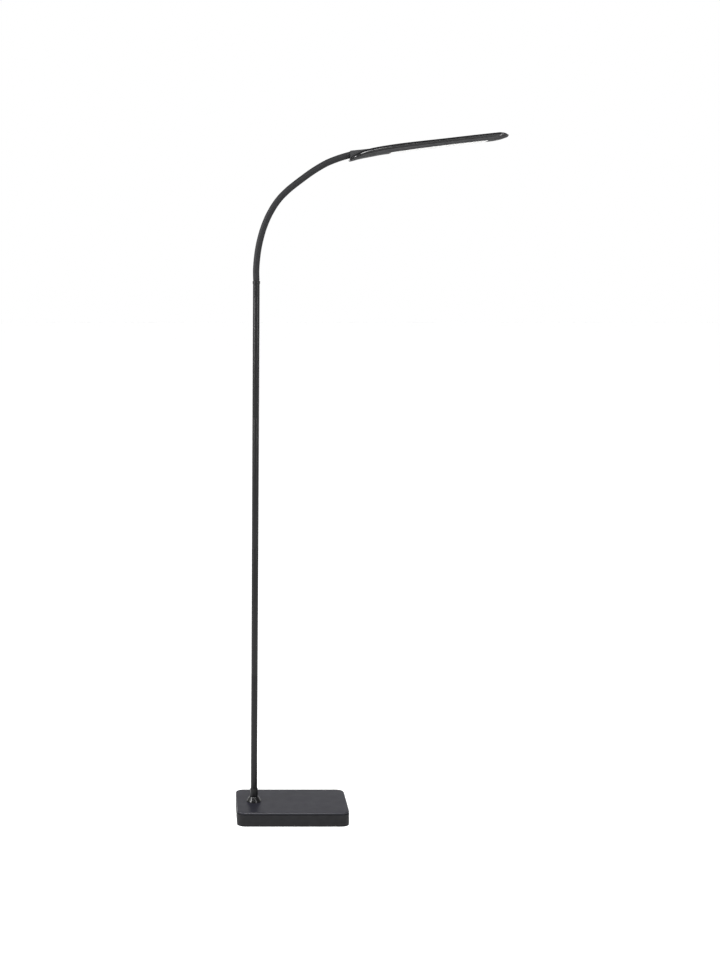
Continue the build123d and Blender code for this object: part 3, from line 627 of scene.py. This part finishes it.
inletY, inletZ = inletMiddle[1:]
leadPiece("baseLead", [
    (inletLow[0], inletY, inletZ), (196, inletY, inletZ), (177, inletY, 24.5), (104, inletY, 24.5),
    (30, 0, 24.5), (6, 0, 24.5), (0, 0, 27), (0, 0, 45), (0, 0, 600), (0, 0, 1240), (0, 0, ringTop),
], "stand")


head = {
    "slope": math.radians(6.8),
    "curveRadius": 220.0,
    "curveReach": 75.6,      # from the neck's end to where the curve meets the straight stretch
    "curveRise": 13.0,
    "corner": 28.0,
    "shellRise": 7.6,
    "flankIn": 4.5,          # how far the flank leans in over the facet
    "topEdge": 0.5,
    "facetTop": 4.0,         # narrow facet under the shell's flank, over the parting line
    "facetLow": 2.9,
    "facetIn": 0.5,
    "facetEdge": 0.3,
    "frameDrop": 8.0,
    "frameLean": 2.6,
    "frameEdge": 2.2,
    "wall": 1.8,
    "closing": 16.0,         # inset from which the shell's top is closed by rungs
    "grooveTop": 1.3,        # shadow line between the shell and the frame
    "grooveLow": -1.3,
    "grooveDepth": 4.5,
    "lipTaper": 45.0,        # the top thins out over this length at the neck end
    "lipShare": 0.3,         # what is left of its thickness at the lip
    "lipTaperUnder": 95.0,   # and the same below
    "lipShareUnder": 0.1,
    "bellyAt": 318.0,        # X at which the underside is a little fuller
    "bellyReach": 40.0,
    "bellyShare": 0.13,
    "sagAt": 268.0,          # X at which the blade hangs a little, before it runs straight
    "sagReach": 28.0,
    "sag": 2.3,
    "noseTop": 24.0,         # the top comes down over this length at the tip
    "noseUnder": 40.0,       # and the underside comes up over this one
    "nosePower": 0.6,
    "noseShare": 0.22,
    "crowns": [(350.0, 65.0, 0.13), (262.0, 28.0, 0.24)],  # (X, reach, share): where the top is a bit fuller
    "rimDrop": 0.6,          # the facet comes down by this share of the room under the top, at the tip
    "droopFrom": 450.0,      # X from which the blade bends down a little, towards the tip
    "droop": 1.6,
    "cornerSteps": 16,
    "sideSteps": 90,
    "windowStart": 100.0,    # along the blade from the lip
    "windowTipGap": 50.5,
    "windowMargin": 4.0,
    "windowCorner": 6.0,
    "panelProud": 0.8,
    "panelGap": 0.1,         # round the panel, in its window
    "panelFlange": 1.8,
    "panelWall": 1.8,
    "panelClosing": -5.0,    # where its faces are closed by rungs, inside its outline
    "underSteps": 30,        # rings of the underside between the side and the window
}
shellLow, shellHigh = nodeBox("head_shell")
lipX, tipX, halfWidth = shellLow[0], shellHigh[0], shellHigh[1]
slopeScale = math.cos(head["slope"])  # X of a step along the straight stretch
curveEndX, curveEndZ = facePoint[0] + head["curveReach"], facePoint[2] + head["curveRise"]
curveCentre = np.array([curveEndX + head["curveRadius"] * math.sin(head["slope"]),
                        curveEndZ - head["curveRadius"] * math.cos(head["slope"])])
curveLength = head["curveRadius"] * (math.asin((curveCentre[0] - lipX) / head["curveRadius"]) - head["slope"])


# Level of the blade at X, so far above its parting line: on the circle of radius R + above before the curve's
# end, centreZ + sqrt((R + above)^2 - (centreX - x)^2), and on the circle's tangent after it. Off that come a
# bell-shaped sag, and a droop that grows with the square of the distance towards the tip.
def bladeLevel(x, above):
    radius = head["curveRadius"] + above
    turnX = curveCentre[0] - radius * math.sin(head["slope"])
    onCurve = np.minimum(x, turnX)
    level = curveCentre[1] + np.sqrt(radius**2 - (curveCentre[0] - onCurve) ** 2)
    level = level - head["sag"] * np.exp(-(((x - head["sagAt"]) / head["sagReach"]) ** 2))
    droop = head["droop"] * (np.maximum(x - head["droopFrom"], 0) / (tipX - head["droopFrom"])) ** 2
    return level + np.maximum(x - turnX, 0) * math.tan(head["slope"]) - droop


# Shares of the thickness at X, above and below the parting line: a quarter ellipse at the lip; at the tip a
# power of the distance above and a quarter ellipse below; bell-shaped crowns on top and a belly below.
def bladeShares(x):
    def lip(taper, share):  # grows from its share at the lip to 1
        return share + (1 - share) * np.sqrt(1 - (1 - np.clip((x - lipX) / taper, 0, 1)) ** 2)

    least = head["noseShare"]
    noseTop = np.clip((tipX - x) / head["noseTop"], 0, 1) ** head["nosePower"]
    crown = 1 + sum(share * np.exp(-(((x - at) / reach) ** 2)) for at, reach, share in head["crowns"])
    noseUnder = np.sqrt(1 - (1 - np.clip((tipX - x) / head["noseUnder"], 0, 1)) ** 2)
    belly = 1 + head["bellyShare"] * np.exp(-(((x - head["bellyAt"]) / head["bellyReach"]) ** 2))
    above = lip(head["lipTaper"], head["lipShare"]) * crown * (least + (1 - least) * noseTop)
    below = lip(head["lipTaperUnder"], head["lipShareUnder"]) * belly * (least + (1 - least) * noseUnder)
    return above, below


# Plan points (x, y) lifted to the blade, at a height above the parting line. Between that line and the top,
# the height shrinks towards the tip by rimDrop times the share of the room that is left above.
def placeOnBlade(plan, above):
    x = plan[:, 0]
    share = bladeShares(x)[0 if above > 0 else 1]
    if 0 < above < head["shellRise"]:
        fromTip = np.clip((tipX - x) / head["noseTop"], 0, 1)
        share = share * (1 - head["rimDrop"] * (1 - fromTip) * (1 - above / head["shellRise"]))
    return np.column_stack([x, plan[:, 1], bladeLevel(x, above * share)])


def bladeRing(inset, above):  # the head's outline drawn in by the inset, laid on the blade
    radius = head["corner"] - inset
    low, high = np.array([lipX + inset, inset - halfWidth]), np.array([tipX - inset, halfWidth - inset])
    plan = planRing(low, high, radius, radius, head["cornerSteps"], head["sideSteps"])
    return placeOnBlade(plan, above)


# Shell: flat top, leaning flank, narrow facet, in along the groove, and up inside its wall.
def makeShell():
    rise, wall, groove, depth = head["shellRise"], head["wall"], head["grooveTop"], head["grooveDepth"]
    facetIn, facetEdge, closing, inside = head["facetIn"], head["facetEdge"], head["closing"], depth + wall
    profile = softOutline([
        (closing, rise, 0), (facetIn + head["flankIn"], rise, head["topEdge"]),
        (facetIn, head["facetTop"], facetEdge), (0, head["facetLow"], facetEdge), (0, groove, 0.3),
        (depth, groove, 0), (depth, 0.02, 0), (inside, 0.02, 0), (inside, rise - wall, 1.0),
        (closing, rise - wall, 0),
    ])
    return skinRings("headShell", np.array([bladeRing(inset, above) for inset, above in profile]), "rungs")


# The window's outline has as many points as the blade's, so the underside is a straight mix of the two.
def windowRing(grow, above):
    start = curveEndX + (head["windowStart"] - curveLength) * slopeScale
    end = tipX - head["windowTipGap"] * slopeScale
    half = halfWidth - head["windowMargin"] + grow
    radius = head["windowCorner"] + grow
    low, high = np.array([start - grow, -half]), np.array([end + grow, half])
    return placeOnBlade(planRing(low, high, radius, radius, head["cornerSteps"], head["sideSteps"]), above)


def mixRings(first, last, count, above):  # rings between two, laid on the blade at one height
    share = np.linspace(0, 1, count)[:, None, None]
    plans = first[None, :, :2] * (1 - share) + last[None, :, :2] * share
    return [placeOnBlade(plan, above) for plan in plans]


# Frame: groove, leaning side, underside to the window, back over it inside, and up to the start.
def makeFrame():
    drop, lean, wall, edge = head["frameDrop"], head["frameLean"], head["wall"], head["frameEdge"]
    depth, groove, gap, steps = head["grooveDepth"], head["grooveLow"], head["panelGap"], head["underSteps"]
    outside = softOutline([
        (depth + wall, 0, 0), (depth, 0, 0), (depth, groove, 0), (0, groove, 0.4), (0, groove - 1.5, 0.8),
        (lean, -drop, edge), (lean + 3.5, -drop, 0),
    ])[:-1]  # the last point only shapes the edge before it
    inner = wall + lean + 0.6
    rings = [bladeRing(inset, above) for inset, above in outside]
    under = mixRings(rings[-1], windowRing(gap, -drop), steps, -drop)
    over = mixRings(windowRing(gap, wall - drop), bladeRing(inner, wall - drop), steps, wall - drop)
    inside = [bladeRing(inner, groove - wall), bladeRing(depth + wall, groove - wall)]
    return skinRings("headFrame", np.array(rings + under[1:] + over + inside), "loop")


# Panel: proud face with a soft edge, side in the window, flange inside, and the face's own back.
def makePanel():
    face, gap, flange = -head["frameDrop"] - head["panelProud"], head["panelGap"], head["panelFlange"]
    inner, back = head["wall"] - head["frameDrop"], face + head["panelWall"]
    profile = softOutline([
        (-9, face, 0), (-gap, face, 0.7), (-gap, inner, 0), (flange, inner, 0.2),
        (flange, inner + 1.5, 0.2), (-1.9, inner + 1.5, 0), (-1.9, back, 0.4), (-9, back, 0),
    ])
    profile[:, 0] = np.maximum(profile[:, 0], head["panelClosing"])
    return skinRings("headDiffuser", np.array([windowRing(grow, above) for grow, above in profile]), "rungs")


connector = {
    "length": 46.6,
    "halfWidth": 11.0,
    "cover": 10.9,           # its top above the neck's axis, at the face
    "slope": math.radians(5.8),
    "edge": 0.8,
    "lowEdge": 0.3,
    "edgeSteps": 6,
}


# Side outline carried across Y; near both sides it shrinks by e - sqrt(e^2 - d^2), which rounds the edges.
def makeConnector():
    near, far = facePoint[0], facePoint[0] + connector["length"]
    top = facePoint[2] + connector["cover"]
    rise = connector["length"] * math.tan(connector["slope"])
    lower = [bladeLevel(np.array([x]), 0.3)[0] for x in (near, far)]
    edge, low = connector["edge"], connector["lowEdge"]
    corners = [(near, lower[0], low), (near, top, edge), (far, top + rise, edge), (far, lower[1], low)]
    t = np.linspace(0, math.pi / 2, connector["edgeSteps"] + 1)
    across, shrink = -connector["halfWidth"] + edge * (1 - np.cos(t)), edge * (1 - np.sin(t))
    across = np.concatenate([across, -across[::-1]])
    shrink = np.concatenate([shrink, shrink[::-1]])
    outline = softOutline(corners)
    centre = outline.mean(0)
    ahead = np.roll(outline, -1, 0) - np.roll(outline, 1, 0)
    inward = np.stack([ahead[:, 1], -ahead[:, 0]], -1)
    inward /= np.linalg.norm(inward, axis=1)[:, None]
    inward *= np.sign(np.einsum("ij,ij->i", inward, centre - outline))[:, None]
    rings = outline[None] + shrink[:, None, None] * inward[None]
    across = across[:, None] + 0 * rings[..., 0]
    return skinRings("headConnector", np.stack([rings[..., 0], across, rings[..., 1]], -1))


# Countersunk screw: circles r(z) outside, and a recess whose radius is that of a hexagon,
# a / cos((t mod 60) - 30).
def screwRings(radius, count=48):
    t = np.linspace(0, 2 * math.pi, count, endpoint=False)
    hexagon = 0.62 * radius * math.cos(math.pi / 6) / np.cos((t % (math.pi / 3)) - math.pi / 6)
    circle = np.full(count, float(radius))
    rows = [(0.3 * hexagon, 1.3), (hexagon, 1.3), (hexagon, 0.05), (1.06 * hexagon, -0.05),
            (1.82 * circle, -0.15), (2.0 * circle, 0.0), (2.0 * circle, 0.15), (circle, 1.4), (circle, 7.8),
            (0.8 * circle, 8.0)]
    return np.array([np.stack([r * np.cos(t), r * np.sin(t), level + 0 * t], -1) for r, level in rows])


# Screws standing on the blade's underside at places (x, y), pointing up square to it: the slope between two
# points 1 mm apart gives their lean.
def makeScrews(name, places, radius, proud=0.1):
    one = screwRings(radius)
    flat, (rings, around), count = one.reshape(-1, 3), one.shape[:2], one.shape[0] * one.shape[1]
    points, faces = [], []
    for i, (x, y) in enumerate(places):
        step = np.array([x - 0.5, x + 0.5])
        levels = bladeLevel(step, -head["frameDrop"] * bladeShares(step)[1])
        way = unit(np.array([1.0, 0.0, levels[1] - levels[0]]))
        up = np.array([-way[2], 0.0, way[0]])
        spot = np.array([x, y, levels.mean()]) - up * proud
        points.append(spot + flat[:, :1] * way + flat[:, 1:2] * [0, 1, 0] + flat[:, 2:] * up)
        faces += gridQuads(rings, around, firstPoint=i * count)
        faces += [list(range(i * count, i * count + around))]
        faces += [list(range((i + 1) * count - around, (i + 1) * count))]
    return putMesh(name, np.vstack(points), faces)


screwSpots = {"across": halfWidth - 10.0, "fromWindow": 7.0, "fromTip": 30.0, "radius": 1.25}
nearScrewX = curveEndX + (head["windowStart"] - curveLength - screwSpots["fromWindow"]) * slopeScale
farScrewX = tipX - screwSpots["fromTip"] * slopeScale
headScrewPlaces = [(x, side * screwSpots["across"]) for x in (nearScrewX, farScrewX) for side in (-1, 1)]
neckScrewPlaces = [(facePoint[0] + 25.6, side * 7.3) for side in (-1, 1)]

screwRadius = screwSpots["radius"]
for piece, finish, slotName, node in (
    (makeShell(), "glossShell", "head_plastic", "head_shell"),
    (makeFrame(), "framePlastic", "head_plastic", "head_frame"),
    (makePanel(), "opalPanel", "diffuser_white", "head_diffuser"),
    (makeConnector(), "framePlastic", "head_plastic", "head_connector"),
    (makeScrews("headScrews", headScrewPlaces, screwRadius), "blackScrew", "steel", "head_screws"),
    (makeScrews("connectorScrews", neckScrewPlaces, screwRadius), "blackScrew", "steel", "connector_screws"),
):
    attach(dress(piece, finish, slotName, node), "head")
leadEnd = line[-1] + neckEnd["direction"] * 12
boardLow, boardHigh = nodeBox("control_board")
leadPiece("headLead", [line[-1], leadEnd, leadEnd + [10, 0, -2], (boardLow[0], 0, boardLow[2] + 3)], "head")
print("head made")


stage = {
    "floorSize": 60.0,       # metres
    "floorShade": 0.82,
    "floorGlow": 0.47,       # seen by the camera, in reflections and through clear pieces only
    "ambient": 0.38,         # the world as a light
    "whiteUpTo": 0.155,      # sine of the height over the horizon to which the backdrop is white
    "dimFrom": 0.44,         # and of the height from which the studio is dim
    "dim": 0.15,
}


def seenDirectly(tree):  # 1 for camera, glossy and transmission rays, else 0
    path = tree.nodes.new("ShaderNodeLightPath")
    first = tree.nodes.new("ShaderNodeMath")
    second = tree.nodes.new("ShaderNodeMath")
    first.operation = second.operation = "MAXIMUM"
    tree.links.new(path.outputs["Is Camera Ray"], first.inputs[0])
    tree.links.new(path.outputs["Is Glossy Ray"], first.inputs[1])
    tree.links.new(first.outputs[0], second.inputs[0])
    tree.links.new(path.outputs["Is Transmission Ray"], second.inputs[1])
    return second.outputs[0]


def makeFloor():  # one pale square that also glows where it is seen directly
    half = stage["floorSize"] / 2 / mm
    corners = [(-half, -half, 0), (half, -half, 0), (half, half, 0), (-half, half, 0)]
    floor = putMesh("floor", corners, [[0, 1, 2, 3]])
    material = bpy.data.materials.new("paleFloor")
    material.use_nodes = True
    tree = material.node_tree
    shader = tree.nodes["Principled BSDF"]
    shade = stage["floorShade"]
    shader.inputs["Base Color"].default_value = (shade, shade, shade, 1)
    shader.inputs["Roughness"].default_value = 1.0
    shader.inputs["Specular IOR Level"].default_value = 0.0
    shader.inputs["Emission Color"].default_value = (1, 1, 1, 1)
    glow = tree.nodes.new("ShaderNodeMath")
    glow.operation = "MULTIPLY"
    glow.inputs[1].default_value = stage["floorGlow"]
    tree.links.new(seenDirectly(tree), glow.inputs[0])
    tree.links.new(glow.outputs[0], shader.inputs["Emission Strength"])
    floor.data.materials.append(material)


# White backdrop round the horizon, shade = 1 - (1 - dim) * smoothstep(height), under a dim studio. The light
# that the world gives is one plain ambient level.
def makeWorld():
    world = bpy.data.worlds.new("studio")
    bpy.context.scene.world = world
    world.use_nodes = True
    tree = world.node_tree
    background = tree.nodes["Background"]
    background.inputs["Color"].default_value = (1, 1, 1, 1)
    direction = tree.nodes.new("ShaderNodeTexCoord")
    parts = tree.nodes.new("ShaderNodeSeparateXYZ")
    fade = tree.nodes.new("ShaderNodeMapRange")
    fade.interpolation_type = "SMOOTHSTEP"
    fade.inputs["From Min"].default_value = stage["whiteUpTo"]
    fade.inputs["From Max"].default_value = stage["dimFrom"]
    fade.inputs["To Min"].default_value = 1.0
    fade.inputs["To Max"].default_value = stage["dim"]
    strength = tree.nodes.new("ShaderNodeMix")
    strength.inputs["A"].default_value = stage["ambient"]
    tree.links.new(direction.outputs["Generated"], parts.inputs[0])
    tree.links.new(parts.outputs["Z"], fade.inputs["Value"])
    tree.links.new(seenDirectly(tree), strength.inputs["Factor"])
    tree.links.new(fade.outputs["Result"], strength.inputs["B"])
    tree.links.new(strength.outputs["Result"], background.inputs["Strength"])


def makeLight(name, place, aim, size, power):  # a soft panel that faces its aim
    lamp = bpy.data.lights.new(name, "AREA")
    lamp.shape, lamp.size, lamp.size_y, lamp.energy = "RECTANGLE", size[0], size[1], power
    light = bpy.data.objects.new(name, lamp)
    light.location = place
    light.rotation_euler = (Vector(aim) - Vector(place)).to_track_quat("-Z", "Y").to_euler()
    bpy.context.scene.collection.objects.link(light)


def makeSun(place, power, spread):  # light from the direction of place, from a disc so many degrees wide
    sun = bpy.data.lights.new("skylight", "SUN")
    sun.energy, sun.angle = power, math.radians(spread)
    light = bpy.data.objects.new("skylight", sun)
    light.rotation_euler = Vector(place).to_track_quat("Z", "Y").to_euler()
    bpy.context.scene.collection.objects.link(light)


lights = {
    "leftPanel": {"place": (-2.75, -1.6, 1.95), "aim": (0.1, 0, 1.4), "size": (0.42, 2.2), "power": 105},
    "rightPanel": {"place": (2.25, -2.45, 2.0), "aim": (0.1, 0, 1.3), "size": (0.45, 2.6), "power": 50},
    "frontTop": {"place": (-0.295, -2.01, 3.76), "aim": (0.25, 0, 1.6), "size": (0.9, 0.6), "power": 34},
    "rightTop": {"place": (2.22, -0.87, 3.3), "aim": (0.58, 0, 1.63), "size": (1.2, 0.5), "power": 30},
    "leftSide": {"place": (-2.15, -0.5, 2.52), "aim": (0.225, 0, 1.59), "size": (1.2, 0.5), "power": 28},
    "leftWall": {"place": (-3.0, 0.2, 2.4), "aim": (0.3, 0, 1.6), "size": (3.0, 1.2), "power": 25},
    "rightWall": {"place": (2.2, -3.1, 2.4), "aim": (0.5, 0, 1.6), "size": (2.6, 0.9), "power": 28},
}
makeSun((0.0, -0.42, 0.906), 0.93, 16)
makeFloor()
makeWorld()
for name, light in lights.items():
    makeLight(name, **light)

view = {
    "place": (-0.13775, -3.93113, 1.35919),
    "pitch": 0.134469,       # looking down, in radians
    "lens": 62.37,
    "shift": 0.1691,         # the pole stands left of the view's axis
}
camera = bpy.data.objects.new("camera", bpy.data.cameras.new("camera"))
camera.location = view["place"]
camera.rotation_euler = (math.pi / 2 - view["pitch"], 0, 0)
camera.data.lens, camera.data.sensor_width, camera.data.shift_x = view["lens"], 36.0, view["shift"]
camera.data.clip_end = 200
bpy.context.scene.collection.objects.link(camera)
bpy.context.scene.camera = camera
bpy.context.scene.view_settings.view_transform = "Standard"
print("stage, lights and camera made")
